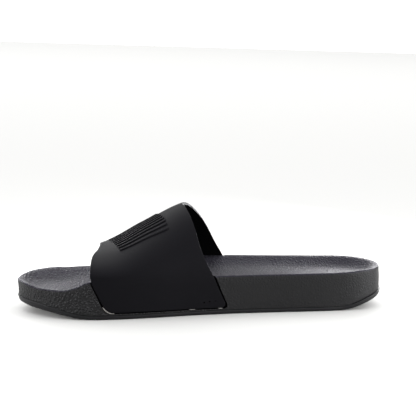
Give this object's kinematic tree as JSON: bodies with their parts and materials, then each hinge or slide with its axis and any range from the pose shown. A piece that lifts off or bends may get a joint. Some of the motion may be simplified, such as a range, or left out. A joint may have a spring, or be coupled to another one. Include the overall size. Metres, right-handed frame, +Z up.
{
  "type": "sport slide sandal",
  "caption": "Black one-strap sport slide sandal, a right shoe, with a cupped foam footbed, a thin rubber outsole and a broad moulded strap.",
  "frame": {"origin": "middle of the shoe's box in plan, on the floor that the sole stands on", "axes": "+Z up, -X towards the toe, +X towards the heel, -Y towards the inner side of the foot"},
  "size_m": [0.2902, 0.0972, 0.078],
  "materials": {
    "footbed_foam": "matt moulded foam with a fine pebbled grain",
    "outsole_rubber": "matt moulded rubber",
    "strap_rubber": "smooth satin moulded rubber"
  },
  "bodies": {
    "root": {"footbed": "footbed_foam", "outsole": "outsole_rubber", "strap": "strap_rubber"}
  },
  "joints": []
}
